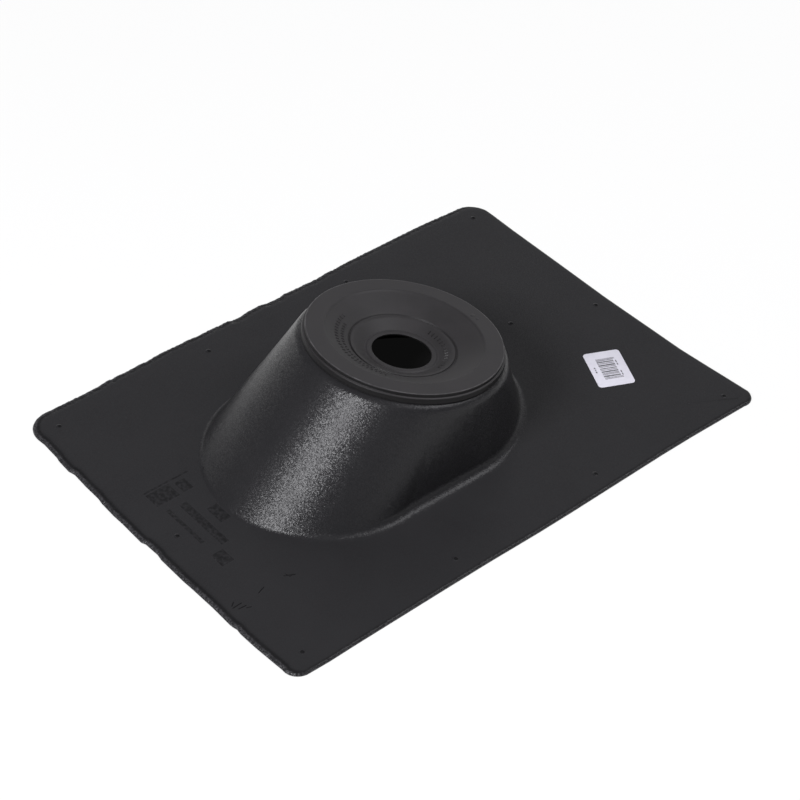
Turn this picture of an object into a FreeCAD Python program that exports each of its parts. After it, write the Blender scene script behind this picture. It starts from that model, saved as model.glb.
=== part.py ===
import FreeCAD, Part
import math
import os

import Sketcher
from FreeCAD import Placement, Rotation, Vector

# A vent-pipe roof flashing: a moulded base with a flat flange and a hollow hood, an elastomer collar that
# closes round the pipe, and a paper label. Origin at the centre of the flange's underside, +Z up, +Y up the
# roof slope along the flange's length. Millimetres and degrees.

SIZES = [
    ("flange_length", 394, "flange, up the slope"),
    ("flange_width", 280, "flange, across the slope"),
    ("flange_thickness", 2.4, "flange plate"),
    ("corner_radius", 17.5, "round corners of the flange"),
    ("edge_bevel", 0.8, "bevel round the flange's upper edge"),
    ("hood_offset", 5, "hood's centre line, off the middle of the trimmed flange"),
    ("foot_low", 58.5, "centre of the foot's lower round end, down the slope from the origin"),
    ("foot_high", 8.5, "centre of the foot's upper round end, up the slope from the origin"),
    ("foot_spread", 8.5, "foot of the hood outside its shoulder"),
    ("foot_bevel", 5, "bevel in the corner between flange and hood"),
    ("wall", 2.4, "hood wall, shoulder and neck"),
    ("mouth_y", 2.3, "centre of the shoulder, up the slope"),
    ("mouth_height", 63.2, "centre of the shoulder, over the underside"),
    ("mouth_tilt", 10, "lean of the mouth's axis up the slope"),
    ("shoulder_margin", 1.3, "shoulder outside the collar's skirt"),
    ("shoulder_bevel", 2, "bevel round the shoulder"),
    ("neck_radius", 61, "outside of the neck that the collar grips"),
    ("neck_clearance", 0.15, "gap between neck and collar, at each side"),
    ("neck_gap", 0.2, "gap between the neck's end and the collar's disc"),
    ("skirt_wall", 3.85, "collar's skirt at the rim, outside the neck"),
    ("rim_bevel", 0.6, "bevel round the rim"),
    ("skirt_height", 6.5, "rim over the shoulder"),
    ("skirt_ledge_depth", 2.6, "ledge in the skirt, under the rim"),
    ("skirt_ledge", 0.8, "width of that ledge"),
    ("skirt_flare", 2.2, "foot of the skirt outside the rim"),
    ("disc_thickness", 2.8, "collar's flat ring, thinner towards the bore"),
    ("dish_margin", 6.1, "inner edge of the collar's flat ring, inside the neck"),
    ("dish_ledge", 0.7, "small bevel down from the flat ring"),
    ("groove_radius", 34.7, "tear groove"),
    ("groove_fall", 8, "web at the tear groove, under the rim"),
    ("groove_width", 1.8, "tear groove's mouth"),
    ("groove_cut", 1.1, "tear groove's depth in the web"),
    ("bore_radius", 19.5, "collar's bore, before it stretches over a pipe"),
    ("bore_length", 2.6, "bore's straight wall"),
    ("lip_fall", 12.6, "top of the bore's lip, under the rim"),
    ("lip_width", 4, "lip round the bore"),
    ("lip_rise", 0.7, "lip over the web beside it"),
    ("label_width", 26.2, "label's short side"),
    ("label_length", 35.3, "label's long side"),
    ("label_radius", 2.6, "label's round corners"),
    ("label_thickness", 0.2, "paper and glue"),
    ("label_across", 54, "label's centre, to the side of the hood's centre line"),
    ("label_along", 2.3, "label's centre, up from halfway between hood and upper edge"),
    ("label_angle", 65, "turn of the label on the flange"),
    ("pip_radius", 1.5, "nail pip"),
    ("pip_height", 0.7, "nail pip over the flange"),
    ("pip_inset", 15, "pips from the flange's edges"),
    ("grid_shift_x", 2.2, "pips, across from the middle of the trimmed flange"),
    ("grid_shift_y", 2.8, "pips, up from the middle of the trimmed flange"),
    ("vent_pip_x", 17, "single pip behind the hood, left of the middle"),
    ("vent_pip_y", 124, "single pip behind the hood, up the slope"),
]

# Radii that follow from the neck, as sums of named sizes.
NECK_INSIDE = "neck_radius - wall"
DISH_RADIUS = NECK_INSIDE + " - dish_margin"
SKIRT_INSIDE = "neck_radius + neck_clearance"
RIM_RADIUS = SKIRT_INSIDE + " + skirt_wall"
SKIRT_FOOT = RIM_RADIUS + " + skirt_flare"
SHOULDER_RADIUS = SKIRT_FOOT + " + shoulder_margin"
FOOT_RADIUS = SHOULDER_RADIUS + " + foot_spread"
FOOT_STRAIGHT = "foot_low + foot_high"

ORIGIN_POINT = (-1, 1)
ACROSS_AXIS = -1
ALONG_AXIS = -2
START, END, CENTRE = range(1, 4)
TOLERANCE = 1e-3

doc = FreeCAD.newDocument("roof_vent_flashing")
sheet = doc.addObject("Spreadsheet::Sheet", "Sizes")
for row, (name, size, meaning) in enumerate(SIZES, start=1):
    sheet.set("A%d" % row, name)
    sheet.set("B%d" % row, str(size))
    sheet.set("C%d" % row, meaning)
    sheet.setAlias("B%d" % row, name)
doc.recompute()


def value_of(formula):
    """Adds up a formula of named sizes, such as "neck_radius - wall" or "flange_width/2"."""
    total = 0.0
    sign = 1
    for word in formula.split():
        if word in "+-":
            sign = 1 if word == "+" else -1
        else:
            name, _, divisor = word.partition("/")
            total += sign * getattr(sheet, name) / float(divisor or 1)
    return total


def in_sheet(formula):
    """The same formula as an expression that looks its names up in the sheet."""
    return " ".join(word if word in "+-" else "Sizes." + word for word in formula.split())


def halves(formula):
    """The formula with each of its terms halved."""
    return " ".join(word if word in "+-" else word + "/2" for word in formula.split())


def new_body(label):
    body = doc.addObject("PartDesign::Body", label)
    body.Label = label
    return body


def new_sketch(body, name, role="XY_Plane"):
    sketch = body.newObject("Sketcher::SketchObject", name)
    plane = next(item for item in body.Origin.OriginFeatures if item.Role == role)
    sketch.AttachmentSupport = [(plane, "")]
    sketch.MapMode = "FlatFace"
    return sketch


def dimension(sketch, kind, places, formula):
    """Adds a driving dimension and binds it to the sheet."""
    index = sketch.addConstraint(Sketcher.Constraint(kind, *places, value_of(formula)))
    sketch.setExpression("Constraints[%d]" % index, in_sheet(formula))


def locate(sketch, point, across, along):
    """Places a sketch point from the sketch's origin; an empty formula puts it on that axis."""
    for kind, axis, formula in (("DistanceX", ALONG_AXIS, across), ("DistanceY", ACROSS_AXIS, along)):
        if not formula:
            sketch.addConstraint(Sketcher.Constraint("PointOnObject", *point, axis))
            continue
        amount = value_of(formula)
        backward = amount < 0
        ends = (*point, *ORIGIN_POINT) if backward else (*ORIGIN_POINT, *point)
        index = sketch.addConstraint(Sketcher.Constraint(kind, *ends, abs(amount)))
        text = "-(%s)" % in_sheet(formula) if backward else in_sheet(formula)
        sketch.setExpression("Constraints[%d]" % index, text)


def add_outline(sketch, corners):
    """Closed outline of straight lines, with every corner placed by its two formulas."""
    points = [Vector(value_of(across), value_of(along), 0) for across, along in corners]
    lines = []
    for here, there in zip(points, points[1:] + points[:1]):
        lines.append(sketch.addGeometry(Part.LineSegment(here, there)))
    for line, following in zip(lines, lines[1:] + lines[:1]):
        sketch.addConstraint(Sketcher.Constraint("Coincident", line, END, following, START))
    for line, (across, along) in zip(lines, corners):
        locate(sketch, (line, START), across, along)


def add_rectangle(sketch, width, length):
    """Rectangle centred on the sketch's origin."""
    x, y = value_of(width) / 2, value_of(length) / 2
    corners = [Vector(-x, -y, 0), Vector(x, -y, 0), Vector(x, y, 0), Vector(-x, y, 0)]
    lines = []
    for here, there in zip(corners, corners[1:] + corners[:1]):
        lines.append(sketch.addGeometry(Part.LineSegment(here, there)))
    for line, following in zip(lines, lines[1:] + lines[:1]):
        sketch.addConstraint(Sketcher.Constraint("Coincident", line, END, following, START))
    for line, direction in zip(lines, ("Horizontal", "Vertical", "Horizontal", "Vertical")):
        sketch.addConstraint(Sketcher.Constraint(direction, line))
    opposite = (lines[0], START, lines[2], START)
    sketch.addConstraint(Sketcher.Constraint("Symmetric", *opposite, *ORIGIN_POINT))
    dimension(sketch, "DistanceX", (lines[0], START, lines[0], END), width)
    dimension(sketch, "DistanceY", (lines[1], START, lines[1], END), length)


def add_circle(sketch, radius, across="", along=""):
    centre = Vector(value_of(across), value_of(along), 0)
    circle = sketch.addGeometry(Part.Circle(centre, Vector(0, 0, 1), value_of(radius)))
    dimension(sketch, "Radius", (circle,), radius)
    locate(sketch, (circle, CENTRE), across, along)


def add_arc(sketch, centre, radius, start, end):
    circle = Part.Circle(centre, Vector(0, 0, 1), radius)
    return sketch.addGeometry(Part.ArcOfCircle(circle, start, end))


def add_foot(sketch, radius, low_end):
    """Foot of the hood: two half circles joined by straight sides, counter-clockwise from the right."""
    low = Vector(value_of("hood_offset"), value_of(low_end), 0)
    high = Vector(value_of("hood_offset"), value_of("foot_high"), 0)
    size = value_of(radius)
    side = Vector(size, 0, 0)
    right = sketch.addGeometry(Part.LineSegment(low + side, high + side))
    upper = add_arc(sketch, high, size, 0, math.pi)
    left = sketch.addGeometry(Part.LineSegment(high - side, low - side))
    lower = add_arc(sketch, low, size, math.pi, 2 * math.pi)
    ring = [right, upper, left, lower]
    for item, following in zip(ring, ring[1:] + ring[:1]):
        sketch.addConstraint(Sketcher.Constraint("Tangent", item, END, following, START))
    sketch.addConstraint(Sketcher.Constraint("Equal", upper, lower))
    dimension(sketch, "Radius", (upper,), radius)
    locate(sketch, (upper, CENTRE), "hood_offset", "foot_high")
    locate(sketch, (lower, CENTRE), "hood_offset", low_end)


def add_split_circle(sketch, radius):
    """Circle in four arcs that take the shares of its round that the foot's sides and ends have."""
    straight = value_of(FOOT_STRAIGHT)
    share = math.pi / 2 * straight / (math.pi * value_of(FOOT_RADIUS) + straight)
    size = value_of(radius)
    bounds = [-share, share, math.pi - share, math.pi + share, 2 * math.pi - share]
    arcs = [add_arc(sketch, Vector(), size, here, there) for here, there in zip(bounds, bounds[1:])]
    right, upper, left, lower = arcs
    for arc, following in zip(arcs, arcs[1:] + arcs[:1]):
        sketch.addConstraint(Sketcher.Constraint("Coincident", arc, END, following, START))
    for arc in arcs:
        sketch.addConstraint(Sketcher.Constraint("Coincident", arc, CENTRE, *ORIGIN_POINT))
    sketch.addConstraint(Sketcher.Constraint("Symmetric", right, START, right, END, ACROSS_AXIS))
    sketch.addConstraint(Sketcher.Constraint("Symmetric", upper, START, upper, END, ALONG_AXIS))
    sketch.addConstraint(Sketcher.Constraint("Symmetric", left, START, left, END, ACROSS_AXIS))
    dimension(sketch, "Radius", (upper,), radius)
    rise = sketch.addConstraint(
        Sketcher.Constraint("DistanceY", *ORIGIN_POINT, right, END, size * math.sin(share)))
    straight_text = in_sheet(FOOT_STRAIGHT)
    share_text = "90 * (%s) / (pi * (%s) + %s)" % (straight_text, in_sheet(FOOT_RADIUS), straight_text)
    sketch.setExpression("Constraints[%d]" % rise, "(%s) * sin(%s)" % (in_sheet(radius), share_text))


def lean_to_mouth(item, place, depth="0"):
    """Puts a sketch or a body in the mouth's plane, or at a depth under it: on the shoulder, leaning up."""
    lean = Rotation(Vector(-1, 0, 0), value_of("mouth_tilt"))
    setattr(item, place, Placement(Vector(), lean))
    item.setExpression(place + ".Base.x", "Sizes.hood_offset")
    item.setExpression(place + ".Base.y", "Sizes.mouth_y - %s * sin(Sizes.mouth_tilt)" % depth)
    item.setExpression(place + ".Base.z", "Sizes.mouth_height - %s * cos(Sizes.mouth_tilt)" % depth)
    item.setExpression(place + ".Rotation.Angle", "Sizes.mouth_tilt")


def add_feature(body, kind, name, sketch, **formulas):
    feature = body.newObject("PartDesign::" + kind, name)
    feature.Profile = sketch
    for field, formula in formulas.items():
        feature.setExpression(field, in_sheet(formula))
    return feature


def add_edge_work(body, kind, name, test, field, formula):
    """Fillet or chamfer on those edges of the body so far that pass the test."""
    doc.recompute()
    base = body.Tip
    names = ["Edge%d" % n for n, edge in enumerate(base.Shape.Edges, start=1) if test(edge)]
    work = body.newObject("PartDesign::" + kind, name)
    work.Base = (base, names)
    work.setExpression(field, in_sheet(formula))
    doc.recompute()


def is_flange_corner(edge):
    """True on the four upright edges of the flange."""
    height = value_of("flange_thickness")
    upright = abs(edge.BoundBox.ZLength - height) < TOLERANCE and abs(edge.Length - height) < TOLERANCE
    return upright and not within_foot(edge)


def lies_at(edge, height):
    """True where the whole edge is at this height over the underside."""
    box = edge.BoundBox
    return abs(box.ZMin - height) < TOLERANCE and abs(box.ZMax - height) < TOLERANCE


def is_ring(edge, radius, height):
    """True on a full circle of this radius at this height."""
    return (lies_at(edge, height) and isinstance(edge.Curve, Part.Circle)
            and abs(edge.Curve.Radius - value_of(radius)) < TOLERANCE)


def within_foot(edge):
    """True where the edge stays clear of the flange's outer edges."""
    box = edge.BoundBox
    reach_x = value_of("flange_width/2 - edge_bevel")
    reach_y = value_of("flange_length/2 - edge_bevel")
    return max(abs(box.XMin), abs(box.XMax)) < reach_x and max(abs(box.YMin), abs(box.YMax)) < reach_y


def on_shoulder(edge):
    """True on the shoulder's outer edge, where the hood's sides meet its flat top."""
    centre = Vector(value_of("hood_offset"), value_of("mouth_y"), value_of("mouth_height"))
    mouth = Placement(centre, Rotation(Vector(-1, 0, 0), value_of("mouth_tilt")))
    for point in edge.discretize(3):
        spot = mouth.inverse().multVec(point)
        if abs(spot.z) > TOLERANCE or abs(math.hypot(spot.x, spot.y) - value_of(SHOULDER_RADIUS)) > TOLERANCE:
            return False
    return True


def make_flashing_base():
    body = new_body("flashing_base")

    # The hood: a skin between the long round-ended foot and the leaning round shoulder.
    foot = new_sketch(body, "HoodFoot")
    add_foot(foot, FOOT_RADIUS, "- foot_low")
    shoulder = new_sketch(body, "HoodShoulder")
    lean_to_mouth(shoulder, "AttachmentOffset")
    add_split_circle(shoulder, SHOULDER_RADIUS)
    hood = add_feature(body, "AdditiveLoft", "Hood", foot)
    hood.Sections = [shoulder]
    hood.Ruled = True

    # The flange, with round corners.
    plate = new_sketch(body, "FlangeOutline")
    add_rectangle(plate, "flange_width", "flange_length")
    add_feature(body, "Pad", "Flange", plate, Length="flange_thickness")
    add_edge_work(body, "Fillet", "FlangeCorners", is_flange_corner, "Radius", "corner_radius")

    # The hollow under the hood; its lower end stands back so that the slanted wall keeps its thickness.
    hollow_foot = new_sketch(body, "HollowFoot")
    add_foot(hollow_foot, FOOT_RADIUS + " - wall", "- foot_low + wall/2")
    hollow_top = new_sketch(body, "HollowTop")
    lean_to_mouth(hollow_top, "AttachmentOffset", "Sizes.wall")
    add_split_circle(hollow_top, SHOULDER_RADIUS + " - wall")
    hollow = add_feature(body, "SubtractiveLoft", "Hollow", hollow_foot)
    hollow.Sections = [hollow_top]
    hollow.Ruled = True

    # The neck that the collar grips, and the way through it.
    ring = new_sketch(body, "NeckRing")
    lean_to_mouth(ring, "AttachmentOffset")
    add_circle(ring, "neck_radius")
    add_circle(ring, NECK_INSIDE)
    add_feature(body, "Pad", "Neck", ring, Length="skirt_height - disc_thickness - neck_gap")
    way = new_sketch(body, "NeckWay")
    lean_to_mouth(way, "AttachmentOffset")
    add_circle(way, NECK_INSIDE)
    add_feature(body, "Pocket", "Mouth", way, Length="wall + wall")

    # The bevels: round the shoulder, in the corner at the hood's foot, and round the flange.
    thickness = value_of("flange_thickness")
    add_edge_work(body, "Chamfer", "ShoulderBevel", on_shoulder, "Size", "shoulder_bevel")
    add_edge_work(body, "Chamfer", "FootBevel",
                  lambda edge: lies_at(edge, thickness) and within_foot(edge), "Size", "foot_bevel")
    add_edge_work(body, "Chamfer", "FlangeBevel",
                  lambda edge: lies_at(edge, thickness) and not within_foot(edge), "Size", "edge_bevel")

    # Nail pips: four along each side, evenly spaced, one at the middle of each end, one behind the hood.
    pips = new_sketch(body, "NailPips")
    pips.setExpression("AttachmentOffset.Base.z", in_sheet("flange_thickness"))
    left = "grid_shift_x - flange_width/2 + pip_inset"
    right = "grid_shift_x + flange_width/2 - pip_inset"
    low = "grid_shift_y - flange_length/2 + pip_inset"
    lower = "grid_shift_y - flange_length/6 + pip_inset/3"
    upper = "grid_shift_y + flange_length/6 - pip_inset/3"
    high = "grid_shift_y + flange_length/2 - pip_inset"
    for across in (left, right):
        for along in (low, lower, upper, high):
            add_circle(pips, "pip_radius", across, along)
    for along in (low, high):
        add_circle(pips, "pip_radius", "hood_offset", along)
    add_circle(pips, "pip_radius", "- vent_pip_x", "vent_pip_y")
    add_feature(body, "Pad", "Pips", pips, Length="pip_height")
    return body


def make_pipe_collar():
    body = new_body("pipe_collar")
    lean_to_mouth(body, "Placement")

    # Cross-section from the rim inward; heights are falls under the rim's plane.
    section = new_sketch(body, "CollarSection", "XZ_Plane")
    section.setExpression("AttachmentOffset.Base.y", "Sizes.skirt_height")
    add_outline(section, [
        (RIM_RADIUS, ""),
        (DISH_RADIUS, ""),
        (DISH_RADIUS + " - dish_ledge", "- dish_ledge"),
        ("groove_radius", "- groove_fall"),
        ("bore_radius + lip_width", "- lip_fall - lip_rise"),
        ("bore_radius + lip_width - lip_rise", "- lip_fall"),
        ("bore_radius", "- lip_fall"),
        ("bore_radius", "- lip_fall - bore_length"),
        ("bore_radius + lip_width", "- lip_fall - bore_length"),
        (DISH_RADIUS, "- disc_thickness"),
        (SKIRT_INSIDE, "- disc_thickness"),
        (SKIRT_INSIDE, "- skirt_height"),
        (SKIRT_FOOT, "- skirt_height"),
        (RIM_RADIUS + " + skirt_ledge", "- skirt_ledge_depth"),
        (RIM_RADIUS, "- skirt_ledge_depth"),
    ])
    ring = add_feature(body, "Revolution", "Collar", section)
    ring.ReferenceAxis = (section, ["V_Axis"])

    # The tear groove, a V whose mouth is as wide as its size says where it meets the web.
    vee = new_sketch(body, "GrooveSection", "XZ_Plane")
    vee.setExpression("AttachmentOffset.Base.y", "Sizes.skirt_height")
    add_outline(vee, [
        ("groove_radius - groove_width", "- groove_fall + groove_cut"),
        ("groove_radius + groove_width", "- groove_fall + groove_cut"),
        ("groove_radius", "- groove_fall - groove_cut"),
    ])
    cut = add_feature(body, "Groove", "TearGroove", vee)
    cut.ReferenceAxis = (vee, ["V_Axis"])

    # The bevel round the rim.
    rim_top = value_of("skirt_height")
    add_edge_work(body, "Chamfer", "RimBevel", lambda edge: is_ring(edge, RIM_RADIUS, rim_top),
                  "Size", "rim_bevel")
    return body


def make_barcode_label():
    body = new_body("barcode_label")
    body.Placement = Placement(Vector(), Rotation(Vector(0, 0, 1), value_of("label_angle")))
    hood_end_to_edge = halves("foot_high + " + FOOT_RADIUS) + " + flange_length/4"
    body.setExpression("Placement.Base.x", in_sheet("hood_offset + label_across"))
    body.setExpression("Placement.Base.y", in_sheet(hood_end_to_edge + " + label_along"))
    body.setExpression("Placement.Base.z", in_sheet("flange_thickness"))
    body.setExpression("Placement.Rotation.Angle", in_sheet("label_angle"))
    outline = new_sketch(body, "LabelOutline")
    add_rectangle(outline, "label_width", "label_length")
    add_feature(body, "Pad", "Label", outline, Length="label_thickness")
    thickness = value_of("label_thickness")
    add_edge_work(body, "Fillet", "LabelCorners", lambda edge: abs(edge.Length - thickness) < TOLERANCE,
                  "Radius", "label_radius")
    return body


parts = [make_flashing_base(), make_pipe_collar(), make_barcode_label()]
doc.recompute()

for item in doc.Objects:
    if "Invalid" in item.State or "Error" in item.State:
        raise RuntimeError("%s did not build: %s" % (item.Name, item.State))
for part in parts:
    if part.Shape.isNull() or not part.Shape.isValid() or len(part.Shape.Solids) != 1:
        raise RuntimeError("%s is not one valid solid" % part.Label)

os.makedirs("parts", exist_ok=True)
for part in parts:
    part.Shape.exportStep("parts/%s.step" % part.Label)
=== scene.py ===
import math
import random

import bmesh
import bpy
import numpy as np
from mathutils import Matrix, Vector


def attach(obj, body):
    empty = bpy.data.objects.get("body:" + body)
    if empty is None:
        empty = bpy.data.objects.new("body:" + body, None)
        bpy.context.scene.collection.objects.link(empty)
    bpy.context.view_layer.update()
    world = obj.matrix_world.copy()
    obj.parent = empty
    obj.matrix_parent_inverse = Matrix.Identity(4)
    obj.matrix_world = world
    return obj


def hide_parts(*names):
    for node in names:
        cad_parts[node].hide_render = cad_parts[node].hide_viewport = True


# A vent-pipe roof flashing: black moulded base, rubber collar, paper label.
# Lengths of the part are millimetres, and a mesh is scaled to metres when it is made.
# The stage and the lamps are in metres.

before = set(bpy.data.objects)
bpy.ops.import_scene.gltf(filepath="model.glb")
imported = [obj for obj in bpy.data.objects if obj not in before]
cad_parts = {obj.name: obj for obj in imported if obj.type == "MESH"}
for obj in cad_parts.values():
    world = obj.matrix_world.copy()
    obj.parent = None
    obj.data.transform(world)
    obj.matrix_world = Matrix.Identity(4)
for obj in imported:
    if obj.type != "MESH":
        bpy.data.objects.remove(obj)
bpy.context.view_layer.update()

MM = 0.001

# Sizes of the part, the same as in its CAD source.
HALF_WIDTH, HALF_LENGTH, THICK = 140.0, 197.0, 2.4
HOOD_X, FOOT_LOW, FOOT_HIGH, FOOT_R = 5.0, -58.5, 8.5, 77.0
WALL = 2.4
MOUTH = np.array([HOOD_X, 2.3, 63.2])
TILT = math.radians(10)
SHOULDER_R, NECK_R, NECK_IN, NECK_TOP = 68.5, 61.0, 58.6, 3.5

# Half the straight stretch of the hood's foot, and the way once round it.
FOOT_HALF = (FOOT_HIGH - FOOT_LOW) / 2
FOOT_PERIMETER = 4 * FOOT_HALF + 2 * math.pi * FOOT_R

# Rounds where the solids have bevels: first the shoulder's radius.
SHOULDER_ROUND = 7.0
# The fillet at the foot: its radius, the radius of its crisp toe, and the slope at which the toe starts.
FILLET, CRISP, CREASE = 8.0, 2.0, math.radians(25)
# Where the toe of a fillet tangent to the hood's side would end, out from the middle line of the foot.
TOE = 81.6
# The toe gets softer towards the right, up to where the side faces right by this share.
SOFT_FACING = 0.9

# The mouth's plane: across, up the slope along the plane, and out of it.
MOUTH_X = np.array([1.0, 0.0, 0.0])
MOUTH_Y = np.array([0.0, math.cos(TILT), -math.sin(TILT)])
MOUTH_N = np.array([0.0, math.sin(TILT), math.cos(TILT)])


def unit(v):
    """Vectors of length 1 in the same directions."""
    return v / np.linalg.norm(v, axis=-1, keepdims=True)


def dot(a, b):
    """Products of vectors, row by row."""
    return np.sum(a * b, axis=-1, keepdims=True)


def new_object(name, points, faces, material, slot, sharp=None):
    """A mesh object from points in mm; edges that bend more than sharp degrees stay crisp."""
    mesh = bpy.data.meshes.new(name)
    mesh.from_pydata([tuple(float(c) * MM for c in p) for p in points], [], faces)
    mesh.materials.append(material)
    bm = bmesh.new()
    bm.from_mesh(mesh)
    bmesh.ops.recalc_face_normals(bm, faces=bm.faces)
    for face in bm.faces:
        face.smooth = True
    if sharp is not None:
        for edge in bm.edges:
            if len(edge.link_faces) == 2 and edge.calc_face_angle(0) > math.radians(sharp):
                edge.smooth = False
    bm.to_mesh(mesh)
    bm.free()
    obj = bpy.data.objects.new(name, mesh)
    bpy.context.scene.collection.objects.link(obj)
    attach(obj, "root")
    return obj


def store_wear_and_shading(obj, wear_and_shading):
    """Stores the wear and painted shading at each point of an object's mesh, where its material finds it."""
    obj.data.attributes.new("wear_and_shading", "FLOAT", "POINT").data.foreach_set("value", wear_and_shading.ravel())


def ring_faces(rings, count, closed=True):
    """Quads between successive rings of equal length; closed joins the last ring to the first."""
    faces = []
    last = rings if closed else rings - 1
    for r in range(last):
        a, b = r * count, (r + 1) % rings * count
        for k in range(count):
            n = (k + 1) % count
            faces.append((a + k, a + n, b + n, b + k))
    return faces


# The trimmed outline of the flange: offsets outward from the nominal edge along each side.
TRIM = {
    "right": [(-197, 0.9), (-170, 1.6), (-150, 1.3), (-80, 1.0), (-43, 1.0), (0, 1.6), (30, 1.5), (60, 1.1),
              (113, 0.4), (140, 0.5), (167, 1.1), (197, 1.8)],
    "upper": [(-140, 2.7), (-118, 2.6), (-94, 1.8), (-46, 1.1), (2, 0.2), (20, 0.4), (50, 0.8), (74, 1.0),
              (86, 1.8), (100, 2.8), (110, 3.6), (140, 5.8)],
    "left": [(-197, 1.1), (-175, 0.5), (-150, 0.2), (-137, 0.5), (-128, 1.7), (-126, 1.0), (-121, 1.7),
             (-115, 1.1), (-101, 1.8), (-97, 1.3), (-84, 2.5), (-70, 1.9), (-61, 2.3), (-56, 1.5),
             (-40, 1.6), (-36, 1.0), (-30, 1.5), (-28, 1.5), (-26, -0.1), (-18, -0.3), (-13, 0.8),
             (1, 1.3), (4, 0.0), (16, -0.7), (20, 0.7), (34, -0.1), (41, 0.2), (44, -0.5), (54, -0.1),
             (58, 0.8), (65, 0.4), (80, 1.1), (130, 1.2), (150, 1.0), (175, -0.4), (197, -1.8)],
    "lower": [(-140, -1.0), (-122, -0.8), (-116, -1.3), (-101, -0.6), (-97, 0.2), (-86, 0.8), (-81, -0.5),
              (-68, 0.2), (-54, 0.3), (-49, 1.1), (-36, 1.7), (-26, 1.5), (-6, 2.0), (-3, 0.7), (9, 0.3),
              (14, 1.2), (26, 1.3), (36, 1.4), (46, 1.0), (66, 0.7), (82, 1.1), (85, 0.8), (88, 0.1),
              (92, 0.7), (106, 0.4), (122, -0.6), (140, -1.9)],
}
# The radius of the corner after each side.
ROUNDS = {"right": 6.5, "upper": 16.1, "left": 17.7, "lower": 10.7}
# The spacing of points on clean and on torn sides, and the points of a corner with its two ends.
CLEAN_STEP, TORN_STEP, CORNER_POINTS = 3.2, 0.9, 18


def flange_outline():
    """Points, outward normals and raggedness round the flange, anticlockwise from the lower right corner."""
    points, normals, ragged = [], [], []
    # Each side's name, its two ends, the spacing of its points, and 1 where it is torn.
    sides = [
        ("right", (HALF_WIDTH, -HALF_LENGTH), (HALF_WIDTH, HALF_LENGTH), CLEAN_STEP, 0.0),
        ("upper", (HALF_WIDTH, HALF_LENGTH), (-HALF_WIDTH, HALF_LENGTH), CLEAN_STEP, 0.0),
        ("left", (-HALF_WIDTH, HALF_LENGTH), (-HALF_WIDTH, -HALF_LENGTH), TORN_STEP, 1.0),
        ("lower", (-HALF_WIDTH, -HALF_LENGTH), (HALF_WIDTH, -HALF_LENGTH), TORN_STEP, 1.0),
    ]
    for number, (name, start, end, step, rough) in enumerate(sides):
        start, end = np.array(start), np.array(end)
        length = np.linalg.norm(end - start)
        along = (end - start) / length
        normal = np.array([along[1], -along[0]])
        axis = 1 if name in ("right", "left") else 0
        before, after = ROUNDS[sides[number - 1][0]], ROUNDS[name]
        places, offsets = zip(*TRIM[name])
        next_name, _, _, _, next_rough = sides[(number + 1) % len(sides)]
        for d in np.linspace(before, length - after, int((length - before - after) / step)):
            p = start + along * d
            points.append(p + normal * np.interp(p[axis], places, offsets))
            normals.append(normal)
            ragged.append(rough)
        # The corner after this side turns from its trim to the next side's.
        near = np.interp((end - along * after)[axis], places, offsets)
        far_places, far_offsets = zip(*TRIM[next_name])
        far = np.interp((end - normal * after)[1 - axis], far_places, far_offsets)
        centre = end - (normal + along) * after
        for turn in np.linspace(0, math.pi / 2, CORNER_POINTS)[1:-1]:
            n = normal * math.cos(turn) + along * math.sin(turn)
            share = turn / (math.pi / 2)
            points.append(centre + n * (after + near + (far - near) * share))
            normals.append(n)
            ragged.append(rough + (next_rough - rough) * share)
    return np.array(points), np.array(normals), np.array(ragged)


def foot_share(points):
    """Share of the hood's round at which a ray from its middle to each point leaves the foot."""
    shares = []
    for x, y in points - np.array([HOOD_X, (FOOT_HIGH + FOOT_LOW) / 2]):
        if abs(y) * FOOT_R <= FOOT_HALF * abs(x):
            rise = y * FOOT_R / abs(x)
            at = FOOT_HALF + rise if x > 0 else 2 * FOOT_HALF + math.pi * FOOT_R + FOOT_HALF - rise
        else:
            end = 1 if y > 0 else -1
            a, b, c = x * x + y * y, -2 * end * FOOT_HALF * y, FOOT_HALF * FOOT_HALF - FOOT_R * FOOT_R
            t = (-b + math.sqrt(b * b - 4 * a * c)) / (2 * a)
            angle = math.atan2(t * y - end * FOOT_HALF, t * x)
            if end > 0:
                at = 2 * FOOT_HALF + angle * FOOT_R
            else:
                at = 4 * FOOT_HALF + math.pi * FOOT_R + (angle + math.pi) * FOOT_R
        shares.append(at / FOOT_PERIMETER)
    return np.array(shares)


def stadium(share, radius, low, high):
    """Points and tangents on a round-ended foot at shares of the hood's round."""
    length, arc = 2 * FOOT_HALF, math.pi * FOOT_R
    points, tangents = [], []
    for at in share % 1.0 * FOOT_PERIMETER:
        if at < length:
            points.append((radius, low + (high - low) * at / length))
            tangents.append((0, 1))
        elif at < length + arc:
            a = (at - length) / FOOT_R
            points.append((radius * math.cos(a), high + radius * math.sin(a)))
            tangents.append((-math.sin(a), math.cos(a)))
        elif at < 2 * length + arc:
            points.append((-radius, high - (high - low) * (at - length - arc) / length))
            tangents.append((0, -1))
        else:
            a = math.pi + (at - 2 * length - arc) / FOOT_R
            points.append((radius * math.cos(a), low + radius * math.sin(a)))
            tangents.append((-math.sin(a), math.cos(a)))
    points, tangents = np.array(points), np.array(tangents)
    zero = np.zeros((len(points), 1))
    return np.hstack([points + np.array([HOOD_X, 0]), zero]), np.hstack([tangents, zero])


def mouth_circle(share, radius, height):
    """Points on a circle in the mouth's plane at the same shares of the round."""
    lead = math.pi / 2 * 2 * FOOT_HALF / (math.pi * FOOT_R + 2 * FOOT_HALF)
    a = (2 * math.pi * share - lead)[:, None]
    return MOUTH + radius * (np.cos(a) * MOUTH_X + np.sin(a) * MOUTH_Y) + height * MOUTH_N


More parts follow.
